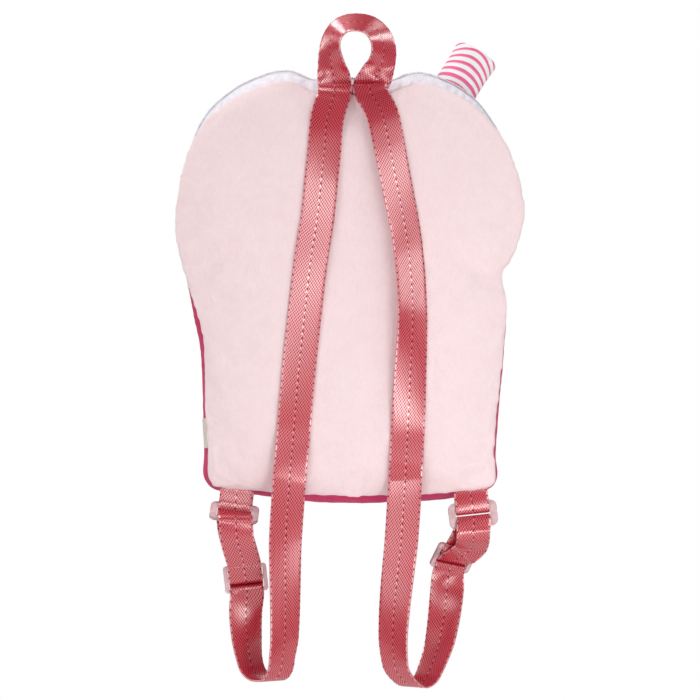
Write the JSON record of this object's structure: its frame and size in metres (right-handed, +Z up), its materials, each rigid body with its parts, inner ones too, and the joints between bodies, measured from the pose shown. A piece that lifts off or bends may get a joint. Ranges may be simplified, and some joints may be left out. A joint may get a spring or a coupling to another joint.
{
  "type": "kids animal backpack",
  "caption": "Small soft child's backpack with a plump head-shaped top, stuffed ear, top zip, webbing shoulder straps with ring and slider adjusters, and a hanging loop.",
  "frame": {"origin": "underside of the top loop at its highest point, where a hook carries the bag", "axes": "+Z up, +X to the right as the wearer's side is seen, -Y out of the back panel towards the wearer"},
  "size_m": [0.261, 0.1206, 0.4971],
  "materials": {
    "pale_fabric": "short-pile plush, pale pink",
    "hot_pink_fabric": "short-pile plush, hot pink",
    "striped_fabric": "knit with narrow pink and white stripes",
    "webbing": "glossy satin-faced woven webbing",
    "zip_tape": "woven tape, very pale lilac",
    "zip_teeth": "coil teeth",
    "zip_slider": "enamelled slider with a plain pull",
    "clear_plastic": "moulded translucent plastic",
    "label": "blank woven label"
  },
  "bodies": {
    "root": {"back_panel": "pale_fabric", "front_head_panel": "pale_fabric", "front_body_panel": "hot_pink_fabric", "body_gusset": "hot_pink_fabric", "head_side_right": "pale_fabric", "head_side_left": "pale_fabric", "zip_tape_back": "zip_tape", "zip_tape_front": "zip_tape", "zip_teeth": "zip_teeth", "zip_slider": "zip_slider", "ear": "striped_fabric", "top_loop": "webbing", "shoulder_strap_left": "webbing", "shoulder_strap_right": "webbing", "anchor_tab_left": "webbing", "anchor_tab_right": "webbing", "strap_ring_left": "clear_plastic", "strap_ring_right": "clear_plastic", "strap_slider_left": "clear_plastic", "strap_slider_right": "clear_plastic", "side_label": "label"}
  },
  "joints": []
}
